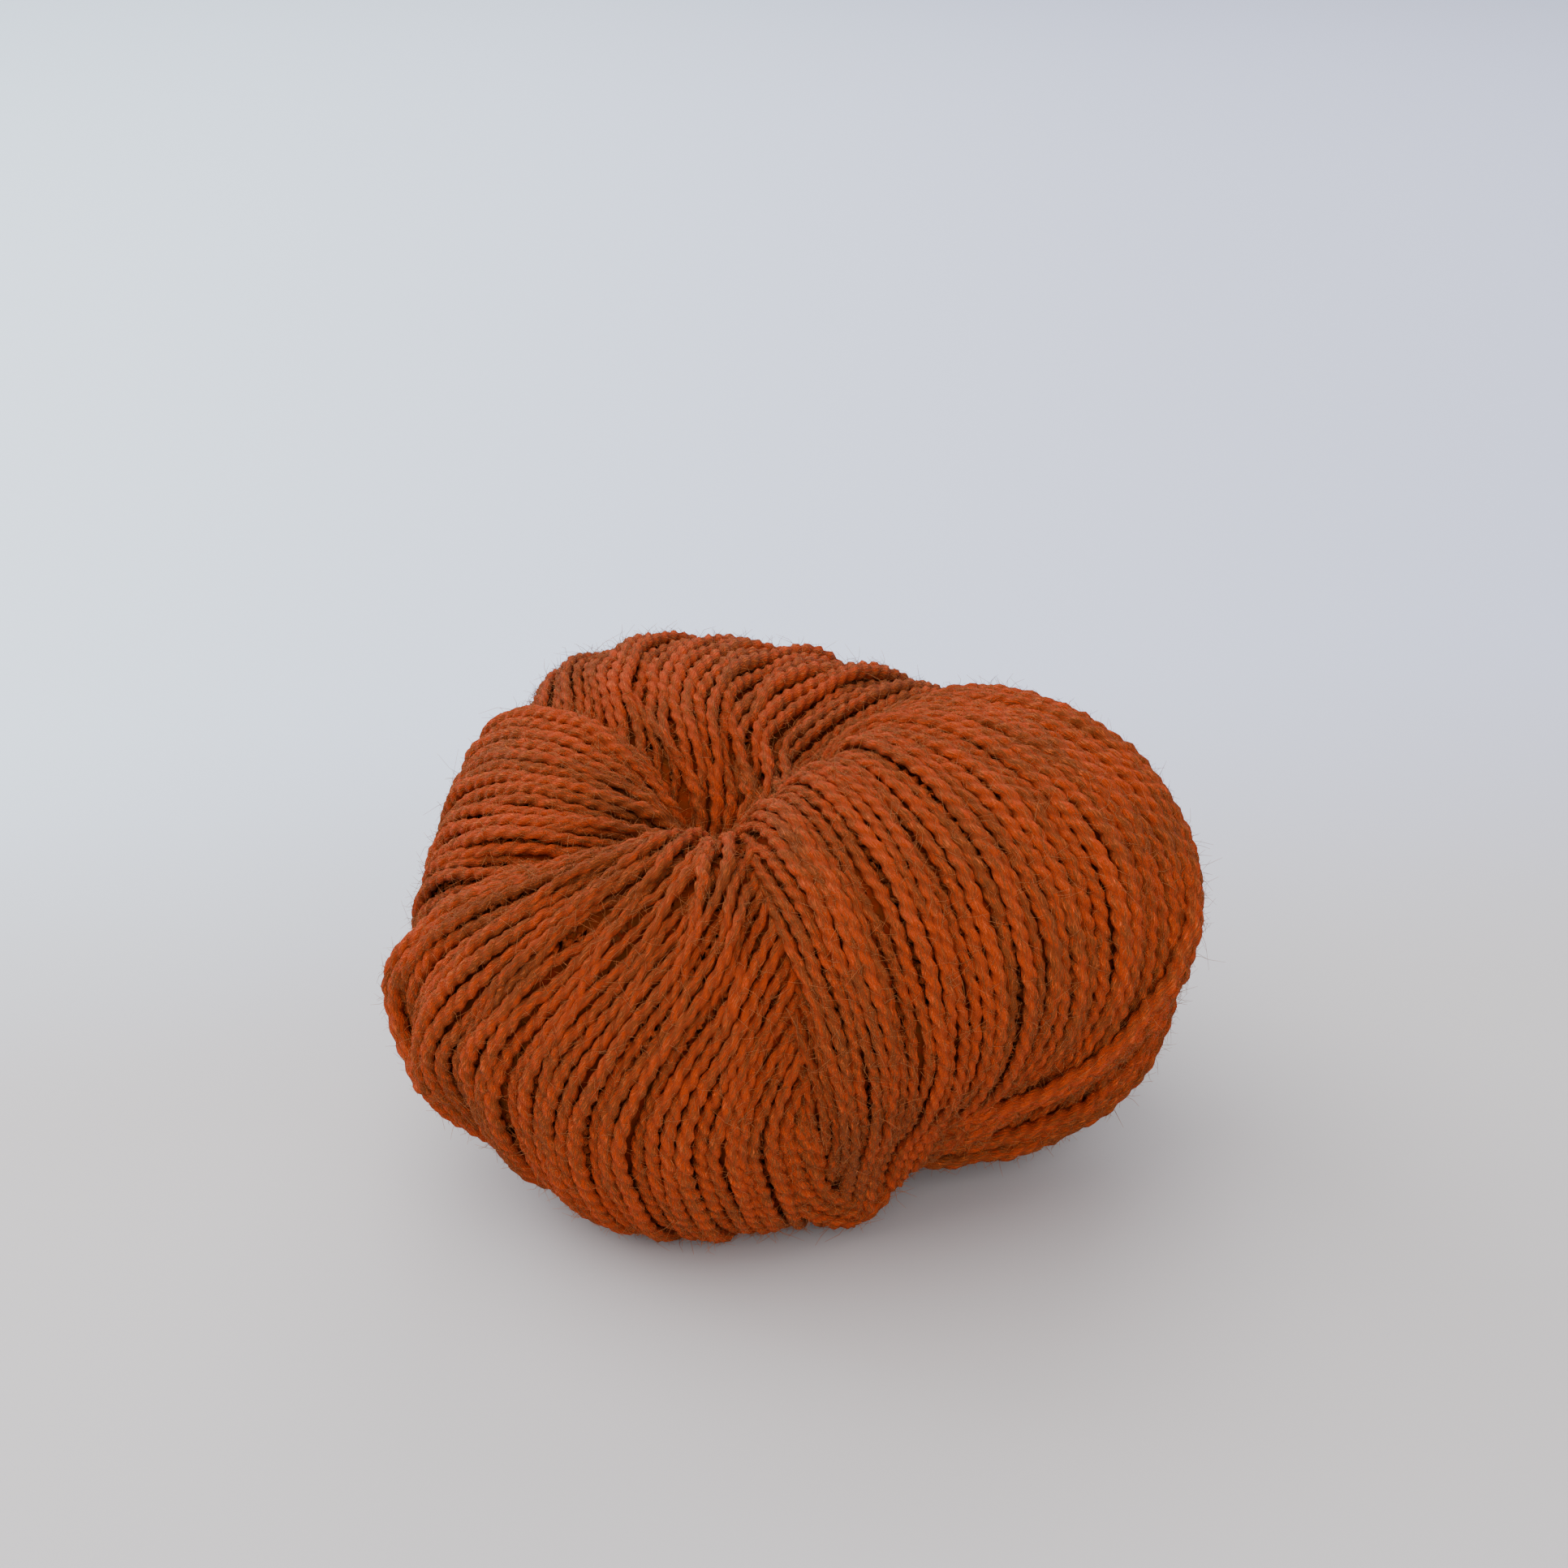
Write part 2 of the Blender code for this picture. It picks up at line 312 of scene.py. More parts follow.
def core_finish_painted_shade():
    """Wool painted darker as painted shade, for what lies deep between the turns, in rust and brown
    clumps.
    """
    shader = Shader("wool_inside_painted_shade")
    place = shader.node("ShaderNodeTexCoord", OBJECT_PLACE)
    clumps = shader.node("ShaderNodeTexNoise", Vector=place, Scale=420.0, Detail=3.0)
    bump = shader.node("ShaderNodeBump", Height=clumps, Strength=0.7, Distance=CLUMP_RELIEF)
    colour = shader.blend(clumps.step(0.35, 0.7), SHADED_CORE_RUST, SHADED_CORE_BROWN)
    shader.set(Base_Color=colour, Roughness=0.9 + clumps * 0.1, Normal=bump, Specular_IOR_Level=0.1)
    return shader.material


WOOL = wool_finish(
    "wool_yarn_spun", sheen=0.17, plain=ORANGE, pale=PALE_ORANGE, pale_share=0.6, brown_share=0.85
)
FUZZ = wool_finish(
    "wool_fuzz", sheen=0.2, plain=FUZZ_ORANGE, pale=FUZZ_TIP, pale_share=1.0, brown_share=0.4
)
print("finishes:", WOOL.name, FUZZ.name)

# %% [markdown]
# ## The core
#
# Under the turns that show lie hundreds of others. They can't be told apart in
# the dark gaps, so a slightly smaller copy of the solid stands for them. Its
# loose triangles are merged first, then a Displace modifier draws it in along
# its normals, a Smooth modifier evens it, and both are applied.
# Its wool is painted much darker than the turns, as painted shade for the deep gaps.

# %% The core
CORE_INSET = 2.2 * MM
CORE_WELD = 0.01 * MM
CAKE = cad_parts["yarn_cake"]


def only(obj):
    """Selects this object and nothing else."""
    bpy.ops.object.select_all(action="DESELECT")
    obj.select_set(True)
    bpy.context.view_layer.objects.active = obj


def weld(distance):
    """Merges the active mesh's doubled corners and turns its normals outward."""
    bpy.ops.object.mode_set(mode="EDIT")
    bpy.ops.mesh.select_all(action="SELECT")
    bpy.ops.mesh.remove_doubles(threshold=distance)
    bpy.ops.mesh.normals_make_consistent(inside=False)
    bpy.ops.object.mode_set(mode="OBJECT")


core = bpy.data.objects.new("cake_core", CAKE.data.copy())
bpy.context.scene.collection.objects.link(core)
only(core)
weld(CORE_WELD)
skin_mesh = core.data.copy()
draw_in = core.modifiers.new("draw_in", "DISPLACE")
draw_in.mid_level = 0.0
draw_in.strength = -CORE_INSET
even = core.modifiers.new("even", "SMOOTH")
even.iterations = 3
for modifier in ("draw_in", "even"):
    bpy.ops.object.modifier_apply(modifier=modifier)
bpy.ops.object.shade_smooth()
core.data.materials.clear()
# The core's finish is painted shade for the deep gaps.
core.data.materials.append(core_finish_painted_shade())
print("core:", len(core.data.polygons), "faces")

# %% [markdown]
# ## Places on the ball
#
# A place on the ball is a heading and a drop about the leaning winding axis,
# as in the solid. A ray from the ball's middle finds where the solid's surface
# is in that direction. The arrays below hold whole families of turns at once:
# one row for each turn, one column for each step along it.

# %% From headings and drops to the surface
MIDDLE = Vector((-8.88 * MM, -8.42 * MM, 31.5 * MM))
USUAL_RADIUS = 40.0 * MM
LEAN_LEFT, LEAN_FRONT = math.radians(2.5), math.radians(10.5)

tilt_front = np.array(
    [
        [1.0, 0.0, 0.0],
        [0.0, math.cos(LEAN_FRONT), -math.sin(LEAN_FRONT)],
        [0.0, math.sin(LEAN_FRONT), math.cos(LEAN_FRONT)],
    ]
)
tilt_left = np.array(
    [
        [math.cos(LEAN_LEFT), 0.0, -math.sin(LEAN_LEFT)],
        [0.0, 1.0, 0.0],
        [math.sin(LEAN_LEFT), 0.0, math.cos(LEAN_LEFT)],
    ]
)
LEAN = tilt_front @ tilt_left
skin_corners = [v.co for v in skin_mesh.vertices]
skin = BVHTree.FromPolygons(skin_corners, [list(p.vertices) for p in skin_mesh.polygons])


def direction(heading, drop):
    """Unit vectors about the winding axis, from arrays of degrees."""
    h, d = np.radians(heading), np.radians(drop)
    return np.stack((np.cos(h) * np.sin(d), np.sin(h) * np.sin(d), np.cos(d) + 0.0 * h), axis=-1)


def on_surface(directions):
    """The surface's points and outward normals in these directions."""
    flat = directions.reshape(-1, 3) @ LEAN.T
    points, normals = np.empty_like(flat), np.empty_like(flat)
    for i, d in enumerate(flat):
        hit, normal, _, _ = skin.ray_cast(MIDDLE, Vector(d))
        if hit is None:
            hit, normal, _, _ = skin.find_nearest(MIDDLE + Vector(d) * USUAL_RADIUS)
        points[i], normals[i] = hit, normal * (1.0 if normal.dot(Vector(d)) > 0.0 else -1.0)
    return points.reshape(directions.shape), normals.reshape(directions.shape)


def soften(rows, times):
    """Evens values along their second-last axis, as tension evens a yarn."""
    for _ in range(times):
        inner = 0.25 * rows[..., :-2, :] + 0.5 * rows[..., 1:-1, :] + 0.25 * rows[..., 2:, :]
        rows = np.concatenate((rows[..., :1, :], inner, rows[..., -1:, :]), axis=-2)
    return rows


def unit(vectors):
    """Vectors of length one in the same directions."""
    return vectors / np.maximum(np.linalg.norm(vectors, axis=-1, keepdims=True), 1e-9)


def smooth(x):
    """0 below 0, 1 above 1, soft between."""
    x = np.clip(x, 0.0, 1.0)
    return x * x * (3.0 - 2.0 * x)


print("the ball's middle is", [round(c * 1000, 1) for c in MIDDLE], "mm from the origin")

# %% [markdown]
# ## The bands
#
# Machine winding lays the turns in broad bands, and each band overlaps the one
# before. A band starts at its edge and ends at the next band's edge. Turns of
# the front, left and back bands run from the hollow over the girth to the foot,
# side by side with the edges. Turns of the right band run round a pole of their
# own and cross the band's edge, where they climb out of the crease.

# %% The bands' edges
BAND_COLUMNS = ("name", "at_hollow", "turned_by", "at_girth", "at_foot", "emerging")
BANDS = (
    ("right", -58.0, 42.0, 46.0, 8.0, 0.0),
    ("front", -78.0, 90.0, -75.0, -52.0, 0.42),
    ("left", -132.0, 90.0, -174.0, -190.0, 0.35),
    ("back", -185.0, 28.0, -228.0, -246.0, 0.62),
)
RIGHT_POLE = (120.0, 62.0)
BAND_ROWS = [dict(zip(BAND_COLUMNS, row)) for row in BANDS]


def edge_heading(band, drop):
    """The heading of a band's edge, for an array of drops."""
    upper = (band["at_girth"] - band["at_hollow"]) * smooth(drop / band["turned_by"])
    lower = (band["at_foot"] - band["at_girth"]) * smooth(drop / 90.0 - 1.0)
    return band["at_hollow"] + upper + lower


def band_after(band):
    return BAND_ROWS[(BAND_ROWS.index(band) + 1) % len(BAND_ROWS)]


def span(band, drop):
    """How many degrees a band covers, for an array of drops."""
    return (edge_heading(band, drop) - edge_heading(band_after(band), drop)) % 360.0


for band in BAND_ROWS:
    print(band["name"], "band covers", int(span(band, np.array(90.0))), "degrees of the girth")

# %% [markdown]
# ## Turns side by side
#
# Where the turns come together, at the hollow and under the foot, there is no
# room for all of them: yarn is squeezed a little, and then every second turn
# slips under its neighbours. `settle` does this for a family of turns. It
# measures the room at each step, narrows the yarn down to SQUEEZE of its
# width, and sinks every second turn, then every second of those left. Slow
# waves and a level of its own keep each turn from lying perfectly. `cut_turns`
# keeps the stretches that show and tucks their ends in.

# %% Settling a family of turns
YARN_PITCH = 2.1 * MM
YARN_STEP = 0.68 * MM
SQUEEZE, FULL_WIDTH = 0.62, 1.06
LEAST_ROOM = 0.01 * MM
LEVELS = 6
SINK = 0.95 * MM
SLIP_UNDER = 1.9 * MM
SLIPPED = 0.9
WAVES = ((34.0 * MM, 1.0), (15.0 * MM, 0.6))
WAVE_HEIGHT = 0.20 * MM
LEVEL_SPREAD, LOWEST, HIGHEST = 0.42 * MM, -0.75 * MM, 0.6 * MM
TUCK = 1.5 * MM
TUCK_LENGTH = 4.0 * MM


def halvings(number):
    """How often a turn's number can be halved. An odd one slips under first."""
    return (number & -number).bit_length() - 1 if number else LEVELS


def settle(points, normals, uneven, extra_sink=0.0, first=0):
    """The centre lines of turns on the surface, their widths, and where each still shows."""
    count, steps = points.shape[:2]
    points, normals = soften(points, 3), unit(soften(normals, 5))
    along = unit(np.gradient(points, axis=1))
    apart = np.gradient(points, axis=0)
    apart -= along * np.sum(apart * along, axis=-1, keepdims=True)
    room = np.maximum(np.linalg.norm(apart, axis=-1), LEAST_ROOM)
    crowd = np.log2(SQUEEZE * YARN_PITCH / room)
    gone = sum(smooth((crowd - halved) * 2.5) for halved in range(LEVELS))
    width = np.clip(room * 2.0**gone / YARN_PITCH, SQUEEZE, FULL_WIDTH)
    rank = np.array([halvings(i + first) for i in range(count)])
    slip = crowd - rank[:, None]
    side = np.cross(normals, along)
    strides = np.diff(points, axis=1, prepend=points[:, :1])
    reach = np.cumsum(np.linalg.norm(strides, axis=-1), axis=1)
    waves = np.zeros((count, steps, 2))
    for length, share in WAVES:
        phase = rng.uniform(0.0, math.tau, (count, 1, 2))
        lengths = length * rng.uniform(0.8, 1.25, (count, 1, 1))
        waves += share * np.sin(reach[..., None] / lengths * math.tau + phase)
    level = rng.normal(0.0, LEVEL_SPREAD, (count, 1)).clip(LOWEST, HIGHEST) * uneven
    sink = SINK + extra_sink - level - waves[..., 0] * WAVE_HEIGHT * uneven
    sink = sink + SLIP_UNDER * smooth(slip * 2.0)
    sway = waves[..., 1:] * WAVE_HEIGHT * uneven
    points = points - normals * sink[..., None] + side * sway
    return points, width, slip < SLIPPED


def stretches(shown, least):
    """The runs of True in a row, as (start, end) pairs at least so long."""
    edges = np.flatnonzero(np.diff(np.concatenate(([0], shown.astype(int), [0]))))
    return [(a, b) for a, b in zip(edges[::2], edges[1::2]) if b - a >= least]


def even_steps(points, width, step):
    """The same line with a point at every step, and its widths."""
    strides = np.linalg.norm(np.diff(points, axis=0), axis=1)
    lengths = np.concatenate(([0.0], np.cumsum(strides)))
    count = max(int(lengths[-1] / step), 4) + 1
    at = np.linspace(0.0, lengths[-1], count)
    line = np.stack([np.interp(at, lengths, points[:, i]) for i in range(3)], axis=1)
    return soften(line, 2), np.interp(at, lengths, width)


def tuck_ends(line, step):
    """Draws both ends of a line in towards the ball's middle, so that no end shows."""
    along = np.arange(len(line)) * step
    to_end = np.minimum(along, along[::-1])
    depth = TUCK * smooth(1.0 - to_end / TUCK_LENGTH)
    return line - unit(line - np.array(MIDDLE)) * depth[:, None]


def cut_turns(points, width, shown, step=YARN_STEP, least=8):
    """Lines of yarn from a settled family, one for each run that shows."""
    lines = []
    for row in range(len(points)):
        for a, b in stretches(shown[row], least):
            line, across = even_steps(points[row, a:b], width[row, a:b], step)
            lines.append((tuck_ends(line, step), across))
    return lines


# %% [markdown]
# ## Spinning the yarn
#
# Two plies twisted together make the yarn, and its section is two lobes. A
# turn's path is worked out and not drawn, so its curve gets its points in code,
# made another way than by hand. The rest is Blender's own: a closed two-lobed
# profile is the bevel object, each point's tilt turns the section a little
# further, and Convert makes a mesh of it. So the plies wind round each other at
# every bend. Three attributes are then written for the wool's shader.
# One of them marks the creases between the plies, which the shader darkens as painted shade.

# %% The section of the yarn
YARN_RADIUS = 1.17 * MM
LOBE_APART = 0.43
TWIST_LENGTH = 5.3 * MM
TWIST_HAND = -1.0
SLUB_LENGTH = 9.0 * MM
PLACE_APART = 211.0  # mm between one line's place and the next's, so that no two look alike
YARN_WELD = 0.002 * MM


def lobed_radius(turn):
    """The distance from the middle of the section to its rim, as a share of the longest."""
    out = LOBE_APART * np.abs(np.cos(turn)) + np.sqrt(1.0 - (LOBE_APART * np.sin(turn)) ** 2)
    return out / (1.0 + LOBE_APART)


def section(name, sides, radius, lobed=True):
    """A closed profile curve that isn't shown itself."""
    turn = np.arange(sides) / sides * math.tau
    rim = radius * (lobed_radius(turn) if lobed else np.ones(sides))
    curve = bpy.data.curves.new(name, "CURVE")
    curve.dimensions = "2D"
    ring = curve.splines.new("POLY")
    ring.points.add(sides - 1)
    corners = np.stack((rim * np.cos(turn), rim * np.sin(turn), 0 * rim, 1 + 0 * rim), axis=1)
    ring.points.foreach_set("co", corners.ravel())
    ring.use_cyclic_u = True
    return bpy.data.objects.new(name, curve)


def with_caps(rows, sides):
    """Values for a converted curve: the two caps of each line, last line first, then the tubes."""
    caps = [end for row in reversed(rows) for end in (row[-sides:], row[:sides])]
    return np.concatenate(caps + rows)


def spin(name, lines, profile, step, finish, rough=0.05 * MM, brown=0.0):
    """Tubes of yarn along these lines, joined as one mesh that rides on the ball."""
    sides = len(profile.data.splines[0].points)
    curve = bpy.data.curves.new(name, "CURVE")
    curve.dimensions = "3D"
    curve.bevel_mode = "OBJECT"
    curve.bevel_object = profile
    curve.use_fill_caps = True
    places, groove_shades, tones = [], [], []
    turn = np.arange(sides) / sides * math.tau
    for number, (points, width) in enumerate(lines):
        count = len(points)
        along = np.arange(count) * step
        slub = 1.0 + 0.05 * np.sin(along / SLUB_LENGTH + rng.uniform(0, 6.3))
        slub = slub + rng.normal(0.0, 0.035)
        twist = TWIST_LENGTH * rng.uniform(0.88, 1.15)
        lay = TWIST_HAND * math.tau * along / twist + rng.uniform(0.0, math.tau)
        spline = curve.splines.new("POLY")
        spline.points.add(count - 1)
        weighted = np.concatenate((points, np.ones((count, 1))), axis=1)
        spline.points.foreach_set("co", weighted.ravel())
        spline.points.foreach_set("radius", width * slub)
        spline.points.foreach_set("tilt", lay)
        spline.use_smooth = True
        far = along[:, None] / MM + PLACE_APART * number + 0.0 * turn
        round_yarn = turn - lay[:, None]
        place = np.stack((far, np.cos(round_yarn), np.sin(round_yarn)), axis=-1)
        places.append(place.reshape(-1, 3))
        # How deep in a crease between the plies each corner lies, for the painted shade there.
        groove_shades.append(np.tile(np.abs(np.sin(turn)) ** 6, count))
        tones.append(np.full(count * sides, rng.normal() + brown))
    obj = bpy.data.objects.new(name, curve)
    bpy.context.scene.collection.objects.link(obj)
    only(obj)
    bpy.ops.object.convert(target="MESH")
    obj = bpy.context.object
    mesh = obj.data
    for attribute, kind, field, rows in (
        ("yarn_place", "FLOAT_VECTOR", "vector", places),
        ("ply_groove_painted_shade", "FLOAT", "value", groove_shades),
        ("yarn_tone", "FLOAT", "value", tones),
    ):
        values = with_caps(rows, sides).ravel()
        mesh.attributes.new(attribute, kind, "POINT").data.foreach_set(field, values)
    roughen(mesh, rough)
    rest_on_floor(mesh)
    weld(YARN_WELD)
    mesh.materials.clear()
    mesh.materials.append(finish)
    bpy.ops.object.shade_smooth()
    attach(obj, BODY)
    mesh.calc_loop_triangles()
    print(name, "-", len(lines), "lines,", len(mesh.loop_triangles), "triangles")
    return obj


def roughen(mesh, height):
    """Small unevenness along the normals, because wool is never as smooth as wire."""
    count = len(mesh.vertices)
    places, normals = np.empty(count * 3), np.empty(count * 3)
    mesh.vertices.foreach_get("co", places)
    mesh.vertex_normals.foreach_get("vector", normals)
    places += (normals.reshape(-1, 3) * rng.normal(0.0, height, (count, 1))).ravel()
    mesh.vertices.foreach_set("co", places)
    mesh.update()


def rest_on_floor(mesh):
    """What would reach under the floor is pressed flat on it."""
    places = np.empty(len(mesh.vertices) * 3)
    mesh.vertices.foreach_get("co", places)
    places[2::3] = np.maximum(places[2::3], 0.0)
    mesh.vertices.foreach_set("co", places)
    mesh.update()


TWO_PLY = section("two_ply_section", 10, YARN_RADIUS)
UNDER_PLY = section("under_section", 6, YARN_RADIUS)

# %% [markdown]
# ## The front, left and back bands
#
# Below the girth a turn keeps its share of the way from its band's edge to the
# next one. The number of turns comes from the band's width at the girth and the
# yarn's pitch. Above the girth the turns keep to the far edge, and as the band
# widens new ones come out from under its own edge, like one side of a
# herringbone. The column `emerging` says how large a share of them does.

# %% Turns that run with the bands' edges
START_DROP, END_DROP, DROPS = 3.0, 176.0, 150
GIRTH_DROP = np.array(84.0)
EMERGED_DROP = 96.0
EMERGE_SINK, EMERGE_OVER = 2.2 * MM, 4.0 * MM
UNDER_EDGE = 4.0 * MM
UNTIDY = 0.06


def plain_family(band, spacing, shift=0.5):
    """A band's turns at this spacing: points, normals and how far each is past the edge."""
    drop = np.linspace(START_DROP, END_DROP, DROPS)
    across = np.linspace(0.0, 1.0, 40)
    girth = edge_heading(band, GIRTH_DROP) - across * span(band, GIRTH_DROP)
    rim, _ = on_surface(direction(girth, GIRTH_DROP + 0.0 * girth))
    broad = np.linalg.norm(np.diff(rim, axis=0), axis=1).sum()
    count = int(round(broad / spacing))
    share = (np.arange(count) + shift)[:, None] / count
    share = share + rng.normal(0.0, UNTIDY, share.shape) / count
    late = band["emerging"]
    out = late * smooth(drop / EMERGED_DROP)
    share = 1.0 - (1.0 - share) * (1.0 - out) / (1.0 - late)
    heading = edge_heading(band, drop) - share * span(band, drop)
    points, normals = on_surface(direction(heading, drop + 0.0 * heading))
    ring = np.linalg.norm(points - np.array(MIDDLE), axis=-1) * np.sin(np.radians(drop))
    return points, normals, np.radians(share * span(band, drop)) * ring


def plain_turns(band, spacing, uneven, extra=0.0, shift=0.5, first=0):
    """The same turns, settled, and shown from a little before the band's edge."""
    points, normals, after_edge = plain_family(band, spacing, shift)
    deep = EMERGE_SINK * smooth(0.5 - after_edge / EMERGE_OVER)
    points, width, shown = settle(points, normals, uneven, deep + extra, first)
    return points, width, shown & (after_edge > -UNDER_EDGE)


top_lines = []


def spin_band(name, lines, pieces=1):
    """A band's turns as one piece, or as a few where one would grow too heavy."""
    top_lines.extend(lines)
    for i in range(pieces):
        part = lines[i * len(lines) // pieces : (i + 1) * len(lines) // pieces]
        spin(name if pieces == 1 else name + "_" + "abc"[i], part, TWO_PLY, YARN_STEP, WOOL)


for band, pieces in zip(BAND_ROWS[1:], (1, 1, 2)):
    turns = cut_turns(*plain_turns(band, YARN_PITCH, 1.0, first=3))
    spin_band("turns_" + band["name"], turns, pieces)

# %% [markdown]
# ## The right band
#
# These turns are like meridians that leave a pole in the back band. Low in front
# they would all meet in the place opposite it, so they are bent down there and
# go on under the foot. Each is kept where it lies in the right band. At both of
# its ends it goes on a little way, under the turns of the next band.

# %% Turns that cross the right band's edge
RIGHT_AROUND = 54.0 * MM
EDGE_SINK, EDGE_OVER = 3.4 * MM, 2.0 * MM
FRONT_SINK, FRONT_OVER = 2.6 * MM, 5.0 * MM
AWAY_FROM, AWAY_TO, AWAYS = 24.0, 176.0, 130
BENT_DOWN = math.radians(52.0)
BEND_FROM, BEND_TO = math.radians(78.0), math.radians(180.0)


def right_family(spacing, turn_shift=0.0):
    """Turns round the right pole: points, normals, and how far in from both of the band's ends."""
    pole = direction(np.array(RIGHT_POLE[0]), np.array(RIGHT_POLE[1]))
    side = unit(np.cross(pole, (0.0, 0.0, 1.0)))
    other = np.cross(side, pole)
    count = int(round(math.tau * RIGHT_AROUND / spacing))
    number = np.arange(count) + turn_shift + rng.normal(0.0, UNTIDY, count)
    turn = number[:, None] / count * math.tau
    away = np.radians(np.linspace(AWAY_FROM, AWAY_TO, AWAYS))
    rim = np.sin(turn)[..., None] * side + np.cos(turn)[..., None] * other
    d = np.cos(away)[:, None] * pole + np.sin(away)[:, None] * rim
    bent = (BENT_DOWN * smooth((away - BEND_FROM) / (BEND_TO - BEND_FROM)))[:, None]
    in_side = np.sum(d * side, axis=-1, keepdims=True) * side
    d = in_side + (d - in_side) * np.cos(bent) + np.cross(side, d) * np.sin(bent)
    heading = np.degrees(np.arctan2(d[..., 1], d[..., 0]))
    drop = np.degrees(np.arccos(np.clip(d[..., 2], -1.0, 1.0)))
    band = BAND_ROWS[0]
    wide = span(band, drop)
    margin = 180.0 - wide / 2.0
    into = (edge_heading(band, drop) - heading + margin) % 360.0 - margin
    points, normals = on_surface(d)
    ring = np.linalg.norm(points - np.array(MIDDLE), axis=-1) * np.sin(np.radians(drop))
    after_edge = np.radians(into) * ring
    before_end = np.radians(wide - into) * ring
    return points, normals, after_edge, before_end


def right_turns(spacing, uneven, extra=0.0, turn_shift=0.0):
    """The same turns, settled, and shown a little past both ends of the band."""
    points, normals, after_edge, before_end = right_family(spacing, turn_shift)
    inside = (after_edge > -UNDER_EDGE) & (before_end > -UNDER_EDGE)
    deep = EDGE_SINK * smooth(0.2 - after_edge / EDGE_OVER)
    deep = deep + FRONT_SINK * smooth(0.5 - before_end / FRONT_OVER)
    points, width, shown = settle(points, normals, uneven, deep + extra)
    return points, width, shown & inside


spin_band("turns_right", cut_turns(*right_turns(YARN_PITCH, 1.0)), 2)

# %% [markdown]
# ## The layer underneath
#
# Between the turns that show, the next layer can be seen. Its turns lie wider
# apart, to the side of the others and more than half a yarn deeper. They need
# less detail, so their section has six sides and their steps are longer.

# %% The under layer
UNDER_STEP = 1.7 * MM
UNDER_SINK = 1.25 * MM
UNDER_SPACING = 2.9 * MM
UNDER_UNEVEN = 0.6

under = []
for band in BAND_ROWS[1:]:
    family = plain_turns(band, UNDER_SPACING, UNDER_UNEVEN, UNDER_SINK, shift=0.0)
    under += cut_turns(*family, UNDER_STEP)
family = right_turns(UNDER_SPACING, UNDER_UNEVEN, UNDER_SINK, turn_shift=0.5)
under += cut_turns(*family, UNDER_STEP)
spin("turns_under", under, UNDER_PLY, UNDER_STEP, WOOL, brown=0.3)

# %% [markdown]
# ## Loose turns
#
# A soft ball is never tidy. Low on the right some turns of another lay show
# and stand a little off the body, three loops hang at the foot in front, and two
# bulge out low on the left. Each group is given by a few places it passes:
# heading, drop and height over the surface in mm. A smooth curve runs through
# them, and the column `apart` says how many mm lie between its turns.

# %% Loose turns
LOOSE_COLUMNS = ("name", "passes", "apart", "turns")
LOOSE_WIDTH = 0.97
SECOND_LOWER = 0.3
LOOSE = (
    (
        "across_right",
        ((8, 74, -2.8), (-6, 81, -0.3), (-16, 87, 0.3),
         (-25, 95, 0.4), (-35, 103, 0.0), (-50, 111, -2.8)),
        2.2,
        4,
    ),
    (
        "low_right",
        ((16, 92, -2.6), (6, 100, -0.4), (-10, 111, 0.5), (-24, 119, 0.4), (-40, 126, -2.6)),
        2.2,
        3,
    ),
    (
        "under_right",
        ((8, 104, -2.6), (-4, 112, -0.4), (-20, 121, 0.8), (-36, 127, -0.4), (-48, 130, -2.6)),
        2.2,
        3,
    ),
    (
        "front_loop",
        ((-79, 84, -2.6), (-78, 98, -0.9), (-75, 112, -0.5),
         (-68, 121, -0.5), (-60, 122, -0.7), (-53, 114, -2.8)),
        2.2,
        3,
    ),
    (
        "left_loop",
        ((-158, 66, -2.6), (-163, 76, -0.6), (-165, 86, 0.5),
         (-160, 95, 0.5), (-151, 97, -0.6), (-143, 93, -2.6)),
        2.1,
        2,
    ),
)


def through(stops, count=60):
    """A smooth run of values through a few stops, by a cardinal spline."""
    stops = np.array(stops, dtype=float)
    padded = np.vstack((2 * stops[0] - stops[1], stops, 2 * stops[-1] - stops[-2]))
    at = np.linspace(0.0, len(stops) - 1.001, count)
    i = at.astype(int)
    t = (at - i)[:, None]
    a, b, c, d = padded[i], padded[i + 1], padded[i + 2], padded[i + 3]
    bend = (2 * a - 5 * b + 4 * c - d) * t**2
    return 0.5 * (2 * b + (c - a) * t + bend + (3 * b - a - 3 * c + d) * t**3)


def loose_lines():
    """The lines of every group's turns, side by side over the surface."""
    lines = []
    for row in LOOSE:
        spec = dict(zip(LOOSE_COLUMNS, row))
        for number in range(spec["turns"]):
            run = through(spec["passes"])
            points, normals = on_surface(direction(run[:, 0], run[:, 1]))
            points, normals = soften(points, 2), unit(soften(normals, 4))
            side = np.cross(normals, unit(np.gradient(points, axis=0)))
            off = (number - (spec["turns"] - 1) / 2) * spec["apart"] * MM * rng.uniform(0.85, 1.1)
            height = (run[:, 2:] - SECOND_LOWER * (number % 2)) * MM
            lifted = points + normals * height + side * off
            lines.append(even_steps(lifted, np.full(len(lifted), LOOSE_WIDTH), YARN_STEP))
    return lines


loose_turns = loose_lines()
top_lines.extend(loose_turns)
spin("loose_turns", loose_turns, TWO_PLY, YARN_STEP, WOOL)

# %% [markdown]
# ## The fuzz
#
# Wool looks soft because thousands of fibre ends stand out of the twist. Each
# hair starts inside a turn, leans along the surface and curls back. It is the
# same spinning again, with a section of three sides, two or three points and a
# radius that tapers to the tip. No two hairs repeat a place or a shape, so they
# too are made another way than by hand.

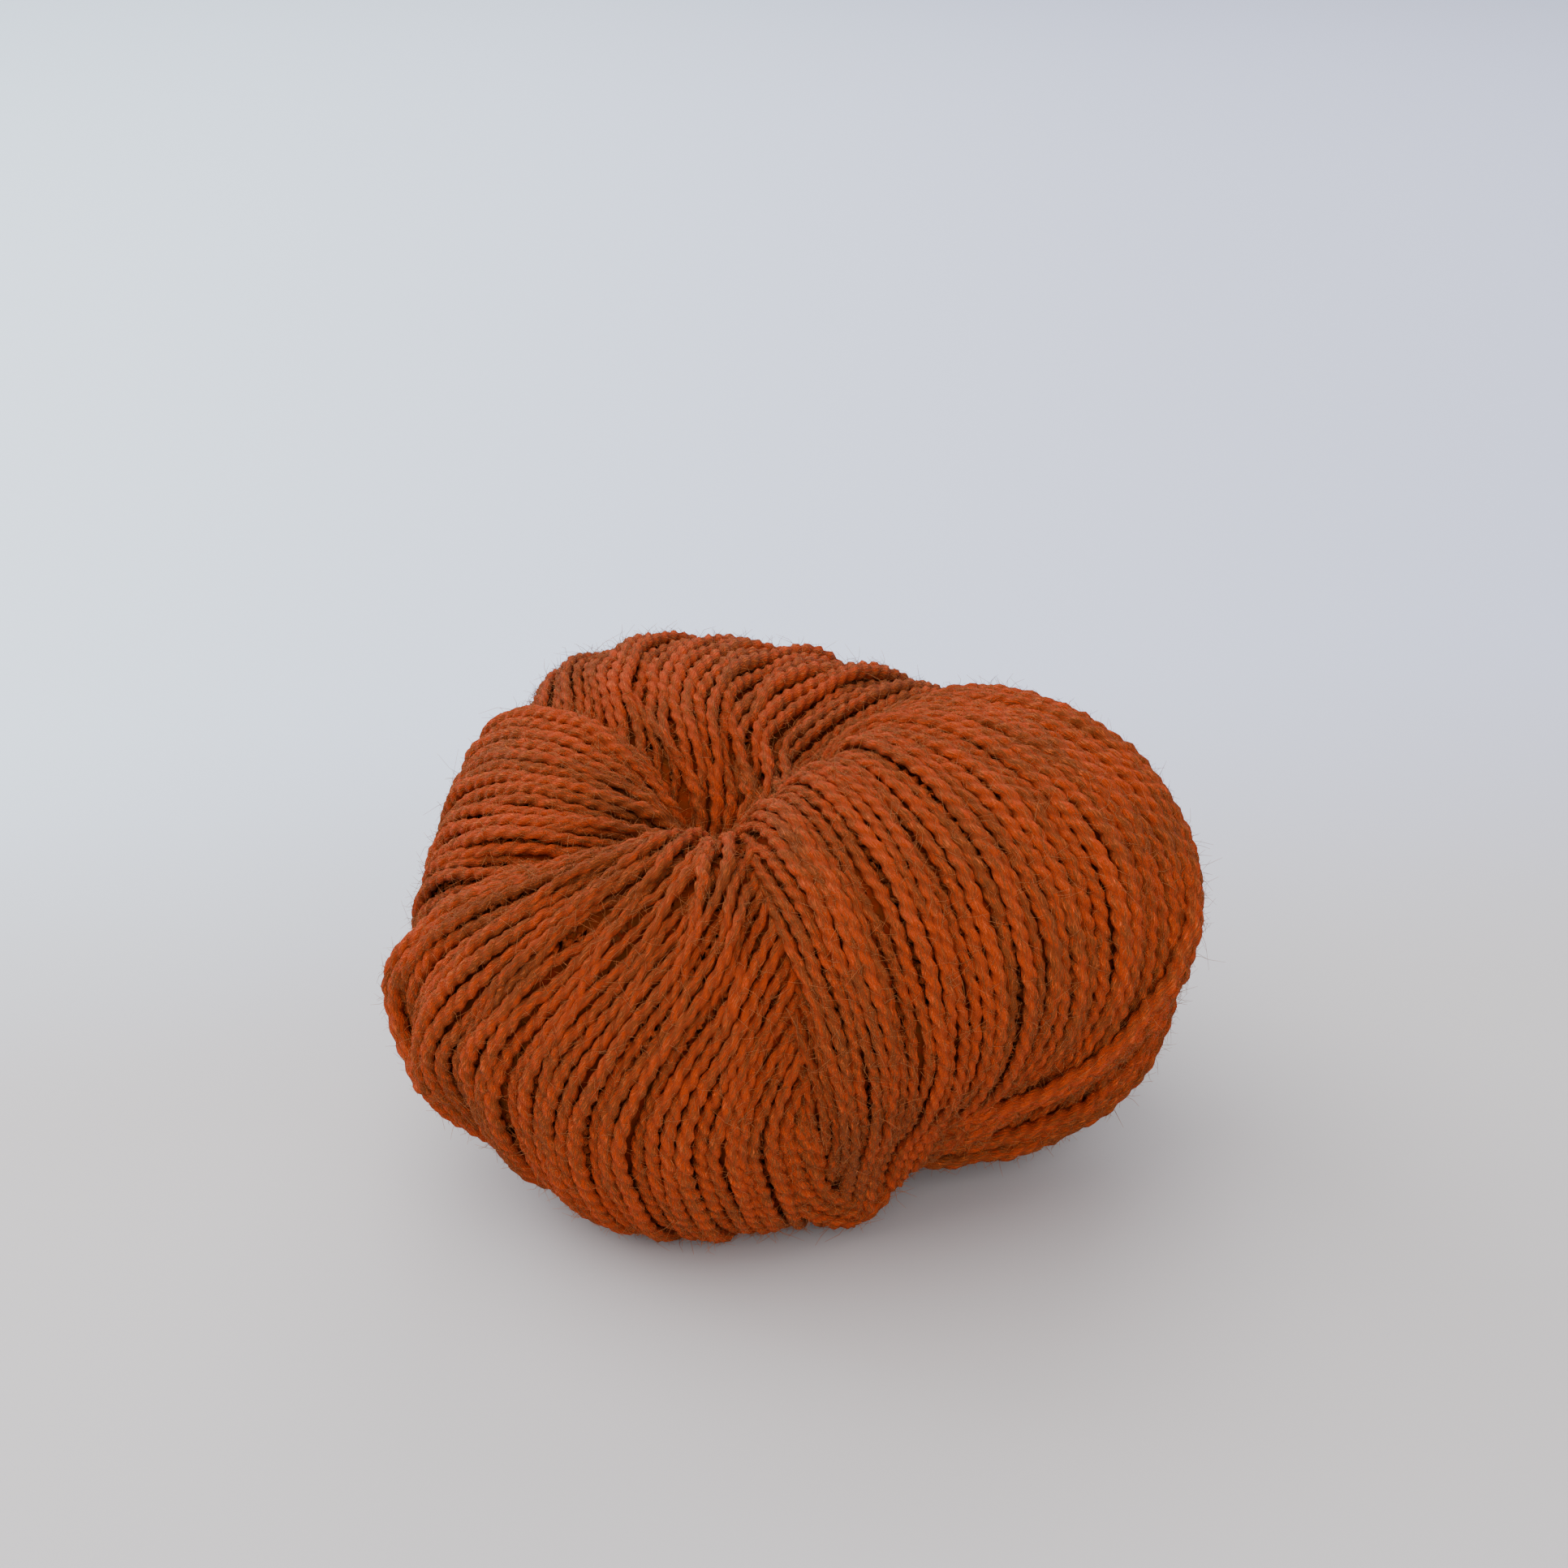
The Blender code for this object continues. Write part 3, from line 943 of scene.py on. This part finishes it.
# %% Hairs
HAIR_RADIUS = 0.040 * MM
HAIR_COLUMNS = ("name", "hairs", "points", "shortest", "more")
HAIR_PIECES = (
    ("fuzz_curled", 12000, 3, 1.0 * MM, 0.65 * MM),
    ("fuzz_short", 23000, 2, 0.7 * MM, 0.35 * MM),
)
LONGEST_HAIR = 5.5 * MM
HAIR_STEP = 0.8 * MM
HAIR_TIP = 0.35
HAIR_SECTION = section("hair_section", 3, HAIR_RADIUS, lobed=False)


def hair_lines(count, bends, shortest, more):
    """Short lines that start on the turns, with this many points each."""
    weights = np.array([len(points) for points, _ in top_lines], dtype=float)
    rows = rng.choice(len(top_lines), count, p=weights / weights.sum())
    along = np.linspace(0.0, 1.0, bends)[:, None]
    lines = []
    for row in rows:
        points = top_lines[row][0]
        at = rng.integers(1, len(points) - 1)
        root = Vector(points[at])
        _, normal, _, _ = skin.find_nearest(root)
        out = np.array(normal if normal.dot(root - MIDDLE) > 0.0 else -normal)
        run = unit(points[at + 1] - points[at - 1])
        side = np.cross(out, run)
        lean = run * rng.normal(0.0, 0.9) + side * rng.normal(0.0, 0.7)
        long = min(shortest + rng.gamma(2.0, more), LONGEST_HAIR)
        away = unit(lean + out * rng.uniform(0.25, 0.95))
        curl = unit(run * rng.normal() + side * rng.normal() - out * rng.uniform(0.2, 1.1))
        start = points[at] + (out * 0.55 + side * rng.uniform(-0.6, 0.6)) * YARN_RADIUS
        line = start + away * long * along + curl * long * rng.uniform(0.25, 0.75) * along**2
        lines.append((line, np.linspace(1.0, HAIR_TIP, bends)))
    return lines


for row in HAIR_PIECES:
    spec = dict(zip(HAIR_COLUMNS, row))
    hairs = hair_lines(spec["hairs"], spec["points"], spec["shortest"], spec["more"])
    spin(spec["name"], hairs, HAIR_SECTION, HAIR_STEP, FUZZ, rough=0.0)

# %% [markdown]
# ## What the core stands for
#
# The turns ride on the ball already. The core takes the place of the solid, so
# that the solid doesn't show through the gaps between them.

# %% The core rides on the ball and stands for its solid
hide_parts("yarn_cake")
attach(core, BODY)
